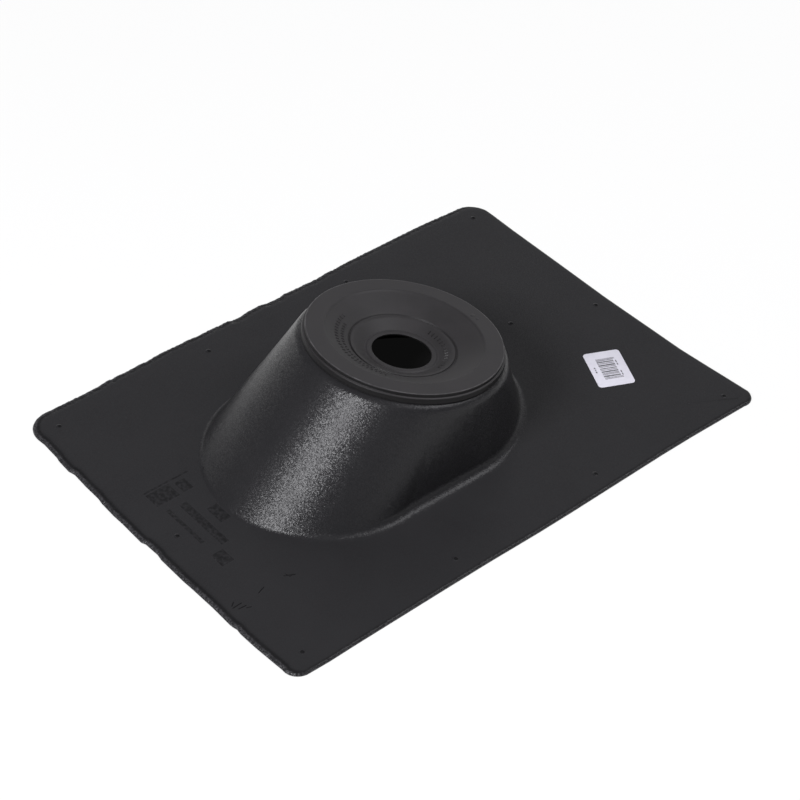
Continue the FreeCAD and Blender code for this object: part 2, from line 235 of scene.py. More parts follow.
# How many rings of points each stretch of the base has, and how often the foot is settled.
SHOULDER_RINGS, SIDE_RINGS, FILLET_RINGS, FLANGE_RINGS, UNDER_RINGS, HOLLOW_RINGS = 8, 8, 18, 6, 3, 4
SETTLE_STEPS = 4
# The flange's edge, from its flat to its underside: distance in from the outline, height, wear and painted
# shading.
# Two sides are cut clean, and two are torn and slightly rolled, with burrs up to these sizes.
# The wear also paints shade just inside the edge and a highlight on the edge itself.
CLEAN_EDGE = [(7.0, 2.4, 0), (3.4, 2.4, 0), (2.4, 2.36, 0.1), (1.7, 2.28, 0.25), (1.1, 2.12, 0.2),
              (0.6, 1.85, 0.5), (0.25, 1.4, 0.9), (0.0, 0.8, 1), (0.2, 0.0, 1)]
TORN_EDGE = [(7.0, 2.4, 0), (5.2, 2.34, 0.05), (3.8, 1.98, 0.3), (2.9, 1.84, 0.35), (2.0, 1.9, 1),
             (1.1, 1.8, 1), (0.45, 1.45, 1), (0.0, 0.8, 0.9), (0.3, 0.0, 0.5)]
BURRS = [0, 0, 0.12, 0.24, 0.3, 0.28, 0.2, 0.1, 0]
BURR_SEED = 7


def between(first, last, count):
    """Rings spaced evenly between two others."""
    return [first + (last - first) * step for step in np.linspace(0, 1, count + 2)[1:-1]]


def hood_foot(share, top):
    """The foot of the hood's side, which way it faces, the side's climb and slope, and the toe's radius."""
    foot, tangent = stadium(share, FOOT_R, FOOT_LOW, FOOT_HIGH)
    square = np.stack([tangent[:, 1], -tangent[:, 0], np.zeros(len(share))], 1)
    soft = np.clip(square[:, :1] / SOFT_FACING, 0, 1)
    toe_r = CRISP + (FILLET - CRISP) * soft * soft * (3 - 2 * soft)
    # The foot moves out until a fillet tangent to the side would end at TOE.
    middle = foot - square * FOOT_R
    for _ in range(SETTLE_STEPS):
        rule = unit(top - foot)
        climb = unit(rule - dot(rule, tangent) * tangent)
        slope = np.arccos(np.clip(-dot(climb, square), -1, 1))
        rise = toe_r * (1 - math.cos(CREASE)) + FILLET * (math.cos(CREASE) - np.cos(slope))
        reach = (toe_r - FILLET) * math.sin(CREASE) + FILLET * np.sin(slope) - rise / np.tan(slope)
        foot = middle + square * (TOE - reach - dot(rule, square) * THICK / rule[:, 2:3])
    return foot, square, climb, slope, toe_r


def shoulder_rings(top, rule):
    """Rings over the round from the shoulder's flat into the hood's side, and how far in it starts."""
    inward = unit(MOUTH - top)
    edge_way = unit(np.cross(MOUTH_N, -inward))
    down = unit(-rule - dot(-rule, edge_way) * edge_way)
    slant = dot(-rule, down)
    inside = np.arccos(np.clip(dot(inward, down), -1, 1))
    setback = SHOULDER_ROUND / np.tan(inside / 2)
    rings = []
    for step in np.linspace(0, 1, SHOULDER_RINGS):
        turn = step * (math.pi - inside)
        flat = setback - SHOULDER_ROUND * np.sin(turn)
        drop = SHOULDER_ROUND * (1 - np.cos(turn))
        fall = drop / np.sin(inside)
        rings.append(top + inward * (flat - fall * np.cos(inside)) + -rule * (fall / slant))
    return rings, setback


def edge_rings(edge_flat, normals, ragged):
    """Rings over the flange's edge, and the wear and painted shading along each."""
    rng = random.Random(BURR_SEED)
    count = len(ragged)
    normal = np.hstack([normals, np.zeros((count, 1))])
    rings, wear_and_shading = [], []
    for clean, torn, size in zip(CLEAN_EDGE, TORN_EDGE, BURRS):
        burr = np.array([rng.uniform(-size, size) for _ in range(count)])
        slip = np.array([rng.uniform(-size, size) for _ in range(count)])
        inset = clean[0] + (torn[0] - clean[0] + slip) * ragged
        ring = edge_flat - normal * inset[:, None]
        ring[:, 2] = clean[1] + (torn[1] - clean[1] + burr) * ragged
        rings.append(ring)
        wear_and_shading.append(clean[2] + (torn[2] - clean[2]) * ragged)
    return rings, wear_and_shading


def make_base(material):
    """The flange and the hood as one closed skin, ring by ring from the neck out, under and up the hollow."""
    outline, normals, ragged = flange_outline()
    share = foot_share(outline)
    count = len(share)
    top = mouth_circle(share, SHOULDER_R, 0)
    foot, square, climb, slope, toe_r = hood_foot(share, top)
    # The hood's side is ruled: straight lines run from the foot up to the shoulder's corner.
    rule = unit(top - foot)
    edge_flat = np.hstack([outline, np.full((count, 1), THICK)])
    foot_line = foot + rule * (THICK / rule[:, 2:3])
    outward = unit((edge_flat - foot_line) * np.array([1, 1, 0]))
    shoulder, setback = shoulder_rings(top, rule)

    # The fillet at the foot, from the hood's side out on to the flange. It reaches out as far as the
    # shoulder's round reaches in, so its toe lies from 1.4 mm inside TOE, on the right, to 2.3 mm outside
    # it, at the low end.
    lean = dot(rule, climb)
    facing_out = dot(outward, square)
    fillet = []
    for step in np.linspace(1, 0, FILLET_RINGS):
        turn = step * slope
        low = np.minimum(turn, CREASE)
        across = setback - toe_r * np.sin(low) - FILLET * (np.sin(turn) - np.sin(low))
        height = toe_r * (1 - np.cos(low)) + FILLET * (np.cos(low) - np.cos(turn))
        out = across + height / np.tan(slope)
        fillet.append(foot_line + rule * (height / np.sin(slope) / lean) + outward * (out / facing_out))

    edge, edge_wear_and_shading = edge_rings(edge_flat, normals, ragged)
    inner_foot = foot - square * WALL
    inner_top = mouth_circle(share, SHOULDER_R - WALL, -WALL)
    rings = [mouth_circle(share, NECK_IN, NECK_TOP), mouth_circle(share, NECK_R, NECK_TOP),
             mouth_circle(share, NECK_R, 0)]
    rings += shoulder + between(shoulder[-1], fillet[0], SIDE_RINGS) + fillet
    rings += between(fillet[-1], edge[0], FLANGE_RINGS)
    first_edge = len(rings)
    rings += edge + between(edge[-1], inner_foot, UNDER_RINGS) + [inner_foot]
    rings += between(inner_foot, inner_top, HOLLOW_RINGS) + [inner_top, mouth_circle(share, NECK_IN, -WALL)]

    base = new_object("moulded_base", np.vstack(rings), ring_faces(len(rings), count), material,
                      "base_plastic", sharp=38)
    wear_and_shading = np.zeros((len(rings), count))
    wear_and_shading[first_edge:first_edge + len(edge)] = edge_wear_and_shading
    store_wear_and_shading(base, wear_and_shading)
    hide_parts("flashing_base")


# Collar section: radius and height over the shoulder, up the skirt, over the rim, down to the bore and back.
COLLAR = [
    (61.15, 0.0), (66.4, 0.0), (66.6, 0.25), (66.55, 0.55), (66.2, 3.25), (66.1, 3.55), (65.75, 3.86),
    (65.2, 3.95), (65.0, 4.15), (65.0, 4.4), (65.0, 5.6), (65.0, 5.8), (64.85, 6.2), (64.5, 6.44),
    (64.0, 6.5), (63.4, 6.5), (53.5, 6.5), (53.0, 6.5), (52.4, 6.42), (51.9, 6.0), (51.5, 5.72),
    (50.6, 5.312), (38.0, -0.397), (37.0, -0.85), (36.0, -1.3), (35.6, -1.55), (35.3, -2.3), (34.9, -2.5),
    (34.5, -2.35), (34.2, -1.75), (33.6, -1.7), (32.2, -2.15), (31.6, -2.481), (25.0, -6.119),
    (24.4, -6.45), (23.7, -6.75), (23.3, -6.6), (22.9, -6.22), (22.4, -6.1), (20.1, -6.1), (19.7, -6.2),
    (19.5, -6.5), (19.5, -7.3), (19.8, -7.7), (23.5, -8.7), (52.3, 3.6), (52.9, 3.7), (61.15, 3.7),
]
# Places in that list: the rim's worn edge with a painted highlight, and the first and last point of the upper
# face.
RIM_EDGE, RIM_TOP, BORE_EDGE = 13, 14, 40
COLLAR_SIDES = 288


def make_collar(material):
    """The rubber collar, turned from its section round the mouth's axis."""
    turns = np.linspace(0, 2 * math.pi, COLLAR_SIDES, endpoint=False)[:, None]
    way = np.cos(turns) * MOUTH_X + np.sin(turns) * MOUTH_Y
    rings = [MOUTH + way * r + MOUTH_N * h for r, h in COLLAR]
    collar = new_object("rubber_collar", np.vstack(rings), ring_faces(len(rings), COLLAR_SIDES), material,
                        "collar_rubber", sharp=50)
    wear_and_shading = np.zeros((len(rings), COLLAR_SIDES))
    wear_and_shading[RIM_EDGE] = 1
    store_wear_and_shading(collar, wear_and_shading)
    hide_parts("pipe_collar")


# How deep a raised mark is set into its surface, the sides of a dome, and the tapered share of a ridge's end.
ROOT, DOME_SIDES, TAPER = 0.05, 20, 0.12
# The levels of a dome: shares of its radius and of its height.
DOME_LEVELS = [(1.25, -0.2), (1.05, 0.12), (0.86, 0.6), (0.55, 0.9), (0.2, 1.0)]
# The faces of a block, whose lower four corners come first.
BLOCK_FACES = ((3, 2, 1, 0), (4, 5, 6, 7), (0, 1, 5, 4), (1, 2, 6, 5), (2, 3, 7, 6), (3, 0, 4, 7))
RIDGE_FACES = ((0, 2, 3), (0, 3, 1), (2, 5, 6, 3), (3, 6, 4, 1), (5, 7, 6), (6, 7, 4), (0, 1, 4, 7, 5, 2))


def add_dome(points, faces, centre, across, along, radius, height):
    """A low round-topped pip on a surface spanned by two directions."""
    start = len(points)
    up = np.cross(across, along)
    for grow, lift in DOME_LEVELS:
        for k in range(DOME_SIDES):
            a = 2 * math.pi * k / DOME_SIDES
            way = math.cos(a) * across + math.sin(a) * along
            points.append(centre + radius * grow * way + height * lift * up)
    dome = ring_faces(len(DOME_LEVELS), DOME_SIDES, closed=False)
    faces.extend(tuple(start + k for k in face) for face in dome)
    faces.append(tuple(range(len(points) - DOME_SIDES, len(points))))
    faces.append(tuple(reversed(range(start, start + DOME_SIDES))))


def add_ridge(points, faces, start, end, up, width, height):
    """A low ridge between two points on a surface, tapered to both ends."""
    first = len(points)
    side = unit(np.cross(end - start, up)) * width / 2
    root = -ROOT * up
    points.append(start + root)
    for share in (TAPER, 1 - TAPER):
        spot = start + (end - start) * share
        points.extend([spot - side + root, spot + side + root, spot + height * up])
    points.append(end + root)
    faces.extend(tuple(first + k for k in face) for face in RIDGE_FACES)


def on_flange(x, y):
    """A place on the flange's upper face."""
    return np.array([x, y, THICK])


# Directions across the flange, up the slope and out of it.
FLANGE_X, FLANGE_Y, FLANGE_N = np.eye(3)
# Middles of the nail pips.
PIPS = [(-122.8, -179.2), (-122.8, -57.9), (-122.8, 63.5), (-122.8, 184.8), (127.2, -179.2), (127.2, -57.9),
        (127.2, 63.5), (127.2, 184.8), (5.0, -179.2), (5.0, 184.8), (-17.0, 124.0)]
# A pip's rim and its tip: radius and height; and how far the rim lies to the left of the tip and below it.
PIP_RIM, PIP_TIP, PIP_SHIFT = (1.8, 0.35), (1.35, 0.6), 0.3
# Blank moulded fields at the lower end, and the line beside them: left, low, right and high side.
FIELDS = [(-36, -174, -23, -156), (-34, -153, -23.5, -145), (-16, -162.5, 28, -156.5),
          (-17, -172, 19.5, -168.8), (-3, -151, 12.5, -142.8), (31, -173.5, 43, -164),
          (-38.6, -174, -36.8, -139)]
FIELD_HEIGHT, FIELD_BEVEL = 0.15, 0.6
# Scuffs and nicks: middle, direction in degrees, length, width; and their height.
SCUFFS = [(74, -146, 62, 8.5, 1.2), (74.8, -145.4, 100, 3.6, 0.8), (73, -146.8, 25, 3.8, 0.8),
          (73, -167, 110, 7.0, 0.9), (74, -186, 92, 8.0, 1.1), (77, -184.5, 85, 6.5, 0.9),
          (71.5, -187.5, 125, 4.5, 0.8), (79.5, -181.5, 70, 4.0, 0.8)]
SCUFF_HEIGHT = 0.3


def add_field(points, faces, left, low, right, high):
    """A low flat field on the flange with sloping sides."""
    first = len(points)
    for inset, z in ((0, -ROOT), (FIELD_BEVEL, FIELD_HEIGHT)):
        for x, y in ((left + inset, low + inset), (right - inset, low + inset), (right - inset, high - inset),
                     (left + inset, high - inset)):
            points.append(on_flange(x, y) + z * FLANGE_N)
    faces.extend(tuple(first + k for k in face) for face in BLOCK_FACES)


def make_marks(plastic, scraped_and_shaded, textured):
    """The nail pips, the blank fields and the scuffs on the flange."""
    rims, tips = ([], []), ([], [])
    for x, y in PIPS:
        add_dome(*rims, on_flange(x - PIP_SHIFT, y - PIP_SHIFT), FLANGE_X, FLANGE_Y, *PIP_RIM)
        add_dome(*tips, on_flange(x, y), FLANGE_X, FLANGE_Y, *PIP_TIP)
    new_object("nail_pip_rims", *rims, plastic, "base_plastic", sharp=60)
    # Each pip's dark tip is painted shade, as in a small dimple; it is drawn in the scraped plastic.
    new_object("nail_pips", *tips, scraped_and_shaded, "base_plastic", sharp=60)
    points, faces = [], []
    for field in FIELDS:
        add_field(points, faces, *field)
    new_object("moulded_fields", points, faces, textured, "base_plastic", sharp=20)
    points, faces = [], []
    for x, y, turn, length, width in SCUFFS:
        half = np.array([math.cos(math.radians(turn)), math.sin(math.radians(turn)), 0]) * length / 2
        middle = on_flange(x, y)
        add_ridge(points, faces, middle - half, middle + half, FLANGE_N, width, SCUFF_HEIGHT)
    new_object("scuffs_and_highlight", points, faces, scraped_and_shaded, "base_plastic", sharp=20)


def on_collar(radius, turn):
    """A point on the collar's upper face, and the directions outward and up there."""
    radii, heights = zip(*reversed(COLLAR[RIM_TOP:BORE_EDGE + 1]))
    way = math.cos(turn) * MOUTH_X + math.sin(turn) * MOUTH_Y
    # The slope there comes from the heights 1 mm to either side.
    low, here, high = np.interp([radius - 1, radius, radius + 1], radii, heights)
    outward = unit(way * 2 + MOUTH_N * (high - low))
    return MOUTH + way * radius + MOUTH_N * here, outward, np.cross(outward, np.cross(MOUTH_N, way))


# Plain ticks moulded in arcs on the dish and the web: inner and outer radius, first and last degree, number.
TICKS = [(42.6, 45.4, 203, 303, 25), (38.8, 41.0, 212, 300, 22), (27.4, 30.2, 15, 100, 15)]
TICK_WIDTH, TICK_HEIGHT = 1.1, 0.55
# Two dots on the collar's flat: radius from the bore's middle, degree, own radius; and their height.
DOTS = [(56.6, 86, 1.5), (57.2, 81.5, 1.1)]
DOT_HEIGHT = 0.3


def make_collar_marks(material):
    """The ticks and dots that stand on the collar."""
    points, faces = [], []
    for inner, outer, first, last, many in TICKS:
        for turn in np.radians(np.linspace(first, last, many)):
            start, _, up = on_collar(inner, turn)
            end, _, _ = on_collar(outer, turn)
            add_ridge(points, faces, start, end, up, TICK_WIDTH, TICK_HEIGHT)
    for radius, turn, size in DOTS:
        spot, outward, up = on_collar(radius, math.radians(turn))
        add_dome(points, faces, spot, outward, np.cross(up, outward), size, DOT_HEIGHT)
    new_object("collar_marks", points, faces, material, "collar_rubber", sharp=40)


# The label, in its own plane: x along the short side, y along the long side.
LABEL_AT, LABEL_TURN = np.array([59.0, 143.55]), math.radians(65)
LABEL_HALF, LABEL_R, LABEL_TOP = np.array([13.1, 17.65]), 2.6, THICK + 0.2
# The levels of its edge, as shares of its outline and heights, and the points of a corner.
LABEL_LEVELS = [(1.0, THICK), (1.0, LABEL_TOP - 0.05), (0.995, LABEL_TOP)]
LABEL_CORNER_POINTS = 9
# Plain bars: place along the label and width; where they start and end, and how many at each side are longer.
BARS = [(-10.2, 0.5), (-9.2, 0.5), (-7.5, 1.5), (-5.6, 0.6), (-4.5, 0.6), (-2.9, 1.3), (-1.2, 0.6),
        (0.3, 1.0), (2.0, 0.6), (3.6, 1.5), (5.4, 0.7), (7.0, 1.2), (8.5, 0.6), (9.4, 0.5), (10.2, 0.4)]
BAR_START, BAR_END, LONG_BAR_END, LONG_BARS = -6.2, 5.8, 7.2, 2
# Small plain blocks where a label has its fine print: middle and half size.
PRINT = [(7.4, -7.4, 0.4, 1.0), (7.3, -4.6, 0.4, 1.1), (7.4, 3.2, 0.4, 1.0), (7.3, 6.0, 0.4, 1.2),
         (-9.6, -2.2, 0.5, 0.8), (-9.5, 0.0, 0.4, 0.7), (-9.6, 2.0, 0.5, 0.6)]
# How far the print stands over the paper and reaches into it.
PRINT_DEPTH = 0.02


def on_label(x, y, z):
    """A place on the label, turned and moved to where it lies on the flange."""
    c, s = math.cos(LABEL_TURN), math.sin(LABEL_TURN)
    return (LABEL_AT[0] + c * x - s * y, LABEL_AT[1] + s * x + c * y, z)


def add_block(points, faces, low, high):
    """A thin printed block on the label."""
    start = len(points)
    for z in (LABEL_TOP - PRINT_DEPTH, LABEL_TOP + PRINT_DEPTH):
        for x, y in ((low[0], low[1]), (high[0], low[1]), (high[0], high[1]), (low[0], high[1])):
            points.append(on_label(x, y, z))
    faces.extend(tuple(start + k for k in face) for face in BLOCK_FACES)


def make_label(paper):
    """The paper label with its round corners."""
    outline = []
    for sx, sy, start in ((1, 1, 0), (-1, 1, 90), (-1, -1, 180), (1, -1, 270)):
        centre = LABEL_HALF * np.array([sx, sy]) - LABEL_R * np.array([sx, sy])
        for turn in np.linspace(start, start + 90, LABEL_CORNER_POINTS):
            a = math.radians(turn)
            outline.append(centre + LABEL_R * np.array([math.cos(a), math.sin(a)]))
    count = len(outline)
    points = [on_label(x * grow, y * grow, z) for grow, z in LABEL_LEVELS for x, y in outline]
    faces = ring_faces(len(LABEL_LEVELS), count, closed=False)
    faces.append(tuple(range(len(points) - count, len(points))))
    faces.append(tuple(reversed(range(count))))
    label = new_object("paper_label", points, faces, paper, "label_film", sharp=30)
    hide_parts("barcode_label")


def make_print(ink):
    """The bars and the small blocks printed on the label."""
    points, faces = [], []
    for number, (place, width) in enumerate(BARS):
        longer = number < LONG_BARS or number >= len(BARS) - LONG_BARS
        end = LONG_BAR_END if longer else BAR_END
        add_block(points, faces, (BAR_START, place - width / 2), (end, place + width / 2))
    for x, y, half_x, half_y in PRINT:
        add_block(points, faces, (x - half_x, y - half_y), (x + half_x, y + half_y))
    new_object("label_bars", points, faces, ink, "label_film", sharp=30)


def new_material(name, colour, roughness, gloss):
    """A plain material, with its node tree and its shader for what is added to it."""
    material = bpy.data.materials.new(name)
    material.use_nodes = True
    shader = material.node_tree.nodes["Principled BSDF"]
    shader.inputs["Base Color"].default_value = (*colour, 1)
    shader.inputs["Roughness"].default_value = roughness
    shader.inputs["Specular IOR Level"].default_value = gloss
    return material, material.node_tree, shader


def add_node(tree, kind, **inputs):
    """A node with values set; an underscore in a name stands for a space."""
    node = tree.nodes.new(kind)
    for name, value in inputs.items():
        node.inputs[name.replace("_", " ")].default_value = value
    return node


def add_step(tree, kind, operation):
    """A node that works out one step of arithmetic."""
    node = tree.nodes.new(kind)
    node.operation = operation
    return node


def noise_of(tree, scale, detail=2.0, roughness=0.5):
    """Smooth noise in the part's own space, with about as many waves to a metre as its scale says."""
    where = tree.nodes.new("ShaderNodeTexCoord")
    node = add_node(tree, "ShaderNodeTexNoise", Scale=scale, Detail=detail, Roughness=roughness)
    tree.links.new(where.outputs["Object"], node.inputs["Vector"])
    return node.outputs["Fac"]


def wear_and_shading_of(tree):
    """The wear and painted shading that a mesh stores at its points."""
    node = tree.nodes.new("ShaderNodeAttribute")
    node.attribute_name = "wear_and_shading"
    return node.outputs["Fac"]


def spread(tree, value, span, new_span=(0.0, 1.0)):
    """The part of a value within a span, stretched to a new span."""
    node = add_node(tree, "ShaderNodeMapRange", From_Min=span[0], From_Max=span[1], To_Min=new_span[0],
                    To_Max=new_span[1])
    tree.links.new(value, node.inputs["Value"])
    return node.outputs["Result"]


def times(tree, one, other):
    """The product of two values."""
    node = add_step(tree, "ShaderNodeMath", "MULTIPLY")
    tree.links.new(one, node.inputs[0])
    tree.links.new(other, node.inputs[1])
    return node.outputs["Value"]


def facing(tree, direction):
    """How far the surface faces a fixed direction, 1 where it looks straight along it."""
    surface = tree.nodes.new("ShaderNodeNewGeometry")
    node = add_step(tree, "ShaderNodeVectorMath", "DOT_PRODUCT")
    node.inputs[1].default_value = direction
    tree.links.new(surface.outputs["Normal"], node.inputs[0])
    return node.outputs["Value"]


# Places of the colour sockets on a Mix node: its two inputs and its output.
MIX_ONE, MIX_OTHER, MIX_RESULT = 6, 7, 2


def blend_colours(tree, share, one, other):
    """One colour towards the other by a share; the first may be a colour or another node's output."""
    node = tree.nodes.new("ShaderNodeMix")
    node.data_type = "RGBA"
    tree.links.new(share, node.inputs["Factor"])
    if isinstance(one, tuple):
        node.inputs[MIX_ONE].default_value = (*one, 1)
    else:
        tree.links.new(one, node.inputs[MIX_ONE])
    node.inputs[MIX_OTHER].default_value = (*other, 1)
    return node.outputs[MIX_RESULT]


def add_bump(tree, height, strength, depth, before=None):
    """A bumped normal, on top of another one if given; its strength is a number or a node's output."""
    node = add_node(tree, "ShaderNodeBump", Distance=depth)
    tree.links.new(height, node.inputs["Height"])
    if isinstance(strength, float):
        node.inputs["Strength"].default_value = strength
    else:
        tree.links.new(strength, node.inputs["Strength"])
    if before is not None:
        tree.links.new(before, node.inputs["Normal"])
    return node.outputs["Normal"]


def stipple(tree, scale, tilt):
    """The surface's normal, tipped at random in each grain of a fine moulded stipple."""
    where = tree.nodes.new("ShaderNodeTexCoord")
    grains = add_node(tree, "ShaderNodeTexVoronoi", Scale=scale)
    surface = tree.nodes.new("ShaderNodeNewGeometry")
    centred, tipped, total, normal = (add_step(tree, "ShaderNodeVectorMath", operation)
                                      for operation in ("SUBTRACT", "SCALE", "ADD", "NORMALIZE"))
    centred.inputs[1].default_value = (0.5, 0.5, 0.5)
    tree.links.new(where.outputs["Object"], grains.inputs["Vector"])
    tree.links.new(grains.outputs["Color"], centred.inputs[0])
    tree.links.new(centred.outputs["Vector"], tipped.inputs[0])
    tree.links.new(tilt, tipped.inputs["Scale"])
    tree.links.new(tipped.outputs["Vector"], total.inputs[0])
    tree.links.new(surface.outputs["Normal"], total.inputs[1])
    tree.links.new(total.outputs["Vector"], normal.inputs[0])
    return normal.outputs["Vector"]


def plastic_material():
    """Black thermoplastic: fine moulded grain, dust and painted light facing up, flecks, painted shade and
    highlight at edges.
    """
    deep, dark, dusty_and_lit = (0.0105, 0.0102, 0.0112), (0.018, 0.0177, 0.0189), (0.018, 0.0176, 0.0188)
    torn, shadow = (0.042, 0.0412, 0.0445), (0.004, 0.004, 0.0044)
    material, tree, shader = new_material("black_plastic", dark, roughness=0.3, gloss=0.19)
    wear_and_shading = wear_and_shading_of(tree)
    upward = facing(tree, (0, 0, 1))
    # Colour: fine grit, cloudy dust with painted light facing up, painted shade behind edges, flecks with a
    # painted highlight on them.
    grit = spread(tree, noise_of(tree, 1500, detail=1.0), (0.35, 0.65))
    clouds = spread(tree, noise_of(tree, 16, detail=4.0, roughness=0.6), (0.35, 0.65), (0.55, 1.0))
    # Dust in cloudy patches, and painted light: what faces up is lighter and the steep hood darker.
    dust_and_top_light = times(tree, clouds, spread(tree, upward, (0.3, 1.0)))
    # Painted shade: a darker band just inside each edge of the flange, where the edge dips.
    groove_shade = times(tree, spread(tree, wear_and_shading, (0.02, 0.25), (0.0, 0.65)),
                   spread(tree, wear_and_shading, (0.4, 0.8), (1.0, 0.0)))
    # Pale flecks of torn plastic, which also paint a highlight on the outermost edge, on the clean sides too.
    flecks_and_highlight = times(tree, spread(tree, wear_and_shading, (0.4, 0.9)), spread(tree, noise_of(tree, 750), (0.46, 0.6)))
    colour = blend_colours(tree, grit, deep, dark)
    for share, tone in ((dust_and_top_light, dusty_and_lit), (groove_shade, shadow), (flecks_and_highlight, torn)):
        colour = blend_colours(tree, share, colour, tone)
    tree.links.new(colour, shader.inputs["Base Color"])
    # Sheen and grain: what lies level, as the flange does, is duller and has less grain than the hood.
    level = (0.975, 0.999)
    patches = spread(tree, noise_of(tree, 30, detail=3.0), (0.1, 0.9), (0.87, 1.13))
    sheen = times(tree, patches, spread(tree, upward, level, (0.3, 0.42)))
    tree.links.new(sheen, shader.inputs["Roughness"])
    grain = stipple(tree, 2000, spread(tree, upward, level, (0.23, 0.09)))
    waves = add_bump(tree, noise_of(tree, 70, detail=1.0), 0.05, 0.001, grain)
    tears = add_bump(tree, noise_of(tree, 700), spread(tree, wear_and_shading, (0.0, 1.0), (0.0, 0.8)), 0.0008, waves)
    tree.links.new(tears, shader.inputs["Normal"])
    return material


def dull_plastic(name, deep, bare, scale):
    """The same plastic where it is scraped or textured, or darkened as painted shade: streaked and dull."""
    material, tree, shader = new_material(name, deep, roughness=0.6, gloss=0.1)
    streaks = spread(tree, noise_of(tree, scale, detail=3.0), (0.4, 0.65))
    tree.links.new(blend_colours(tree, streaks, deep, bare), shader.inputs["Base Color"])
    tree.links.new(spread(tree, streaks, (0.0, 1.0), (0.55, 0.7)), shader.inputs["Roughness"])
    tree.links.new(add_bump(tree, noise_of(tree, 2 * scale), 0.4, 0.0003), shader.inputs["Normal"])
    return material


def rubber_material():
    """Soft dark elastomer: dull, with dust in patches, painted light where it faces up, and a trace of
    moulding grain.
    """
    dark, dusty_and_lit, scuffed_and_lit = (0.0085, 0.0081, 0.0084), (0.0235, 0.0217, 0.0229), (0.08, 0.077, 0.079)
    material, tree, shader = new_material("collar_rubber", dark, roughness=0.5, gloss=0.1)
    patches = spread(tree, noise_of(tree, 38, detail=5.0, roughness=0.62), (0.32, 0.68), (0.55, 1.0))
    upward = facing(tree, tuple(MOUTH_N))
    # Dust in patches, and painted light: what faces up the collar's axis is lighter, the dish and skirt
    # darker.
    dust_and_top_light = times(tree, patches, spread(tree, upward, (0.3, 0.93)))
    # A pale, patchy band on the rim's edge: rubbed rubber, and a painted highlight on the rim.
    rim_patches = spread(tree, noise_of(tree, 160, detail=3.0), (0.35, 0.6), (0.2, 1.0))
    scuffs_and_highlight = times(tree, wear_and_shading_of(tree), rim_patches)
    colour = blend_colours(tree, dust_and_top_light, dark, dusty_and_lit)
    tree.links.new(blend_colours(tree, scuffs_and_highlight, colour, scuffed_and_lit), shader.inputs["Base Color"])
    tree.links.new(spread(tree, upward, (0.3, 0.9), (0.1, 0.36)), shader.inputs["Specular IOR Level"])
    tree.links.new(spread(tree, dust_and_top_light, (0.0, 1.0), (0.42, 0.6)), shader.inputs["Roughness"])
    tree.links.new(add_bump(tree, noise_of(tree, 650), 0.1, 0.0003), shader.inputs["Normal"])
    return material


def paper_material():
    """Coated label paper, faintly mottled."""
    bright, dull = (0.66, 0.648, 0.71), (0.61, 0.598, 0.664)
    material, tree, shader = new_material("label_paper", bright, roughness=0.5, gloss=0.3)
    mottle = spread(tree, noise_of(tree, 220, detail=4.0, roughness=0.6), (0.4, 0.75))
    tree.links.new(blend_colours(tree, mottle, bright, dull), shader.inputs["Base Color"])
    tree.links.new(spread(tree, mottle, (0.0, 1.0), (0.42, 0.58)), shader.inputs["Roughness"])
    tree.links.new(add_bump(tree, noise_of(tree, 900), 0.08, 0.0001), shader.inputs["Normal"])
    return material


def ink_material():
    """Thermal print, thin in places."""
    full, thin = (0.1, 0.1, 0.11), (0.24, 0.237, 0.255)
    material, tree, shader = new_material("label_ink", full, roughness=0.5, gloss=0.3)
    patches = spread(tree, noise_of(tree, 500, detail=3.0), (0.4, 0.7))
    tree.links.new(blend_colours(tree, patches, full, thin), shader.inputs["Base Color"])
    tree.links.new(spread(tree, patches, (0.0, 1.0), (0.45, 0.6)), shader.inputs["Roughness"])
    return material


plastic = plastic_material()
scraped_and_shaded = dull_plastic("scraped_and_shaded_plastic", deep=(0.004, 0.004, 0.0044), bare=(0.009, 0.0088, 0.0094),
                       scale=800)
textured = dull_plastic("textured_plastic", deep=(0.0095, 0.0093, 0.0099), bare=(0.0205, 0.02, 0.0213),
                        scale=420)
rubber = rubber_material()
make_base(plastic)
make_marks(plastic, scraped_and_shaded, textured)
make_collar(rubber)
make_collar_marks(rubber)
make_label(paper_material())
make_print(ink_material())


def stage_material(name, grey, shown):
    """A matt surface that the camera and reflections see lifted towards plain white by the share shown."""
    material = bpy.data.materials.new(name)
    material.use_nodes = True
    tree = material.node_tree
    tree.nodes.remove(tree.nodes["Principled BSDF"])
    matt = add_node(tree, "ShaderNodeBsdfDiffuse", Color=(grey, grey, grey, 1))
    white = add_node(tree, "ShaderNodeEmission", Color=(1, 1, 1, 1), Strength=1.0)
    ray = tree.nodes.new("ShaderNodeLightPath")
    seen = ray.outputs["Is Camera Ray"]
    for kind in ("Is Glossy Ray", "Is Transmission Ray"):
        either = add_step(tree, "ShaderNodeMath", "MAXIMUM")
        tree.links.new(seen, either.inputs[0])
        tree.links.new(ray.outputs[kind], either.inputs[1])
        seen = either.outputs["Value"]
    share = add_step(tree, "ShaderNodeMath", "MULTIPLY")
    share.inputs[1].default_value = shown
    mix = tree.nodes.new("ShaderNodeMixShader")
    tree.links.new(seen, share.inputs[0])
    tree.links.new(share.outputs["Value"], mix.inputs["Fac"])
    tree.links.new(matt.outputs["BSDF"], mix.inputs[1])
    tree.links.new(white.outputs["Emission"], mix.inputs[2])
    tree.links.new(mix.outputs["Shader"], tree.nodes["Material Output"].inputs["Surface"])
    return material


def stage_mesh(name, points, faces, material):
    """A piece of the stage, with its points in metres."""
    mesh = bpy.data.meshes.new(name)
    mesh.from_pydata(points, [], faces)
    mesh.materials.append(material)
    obj = bpy.data.objects.new(name, mesh)
    bpy.context.scene.collection.objects.link(obj)


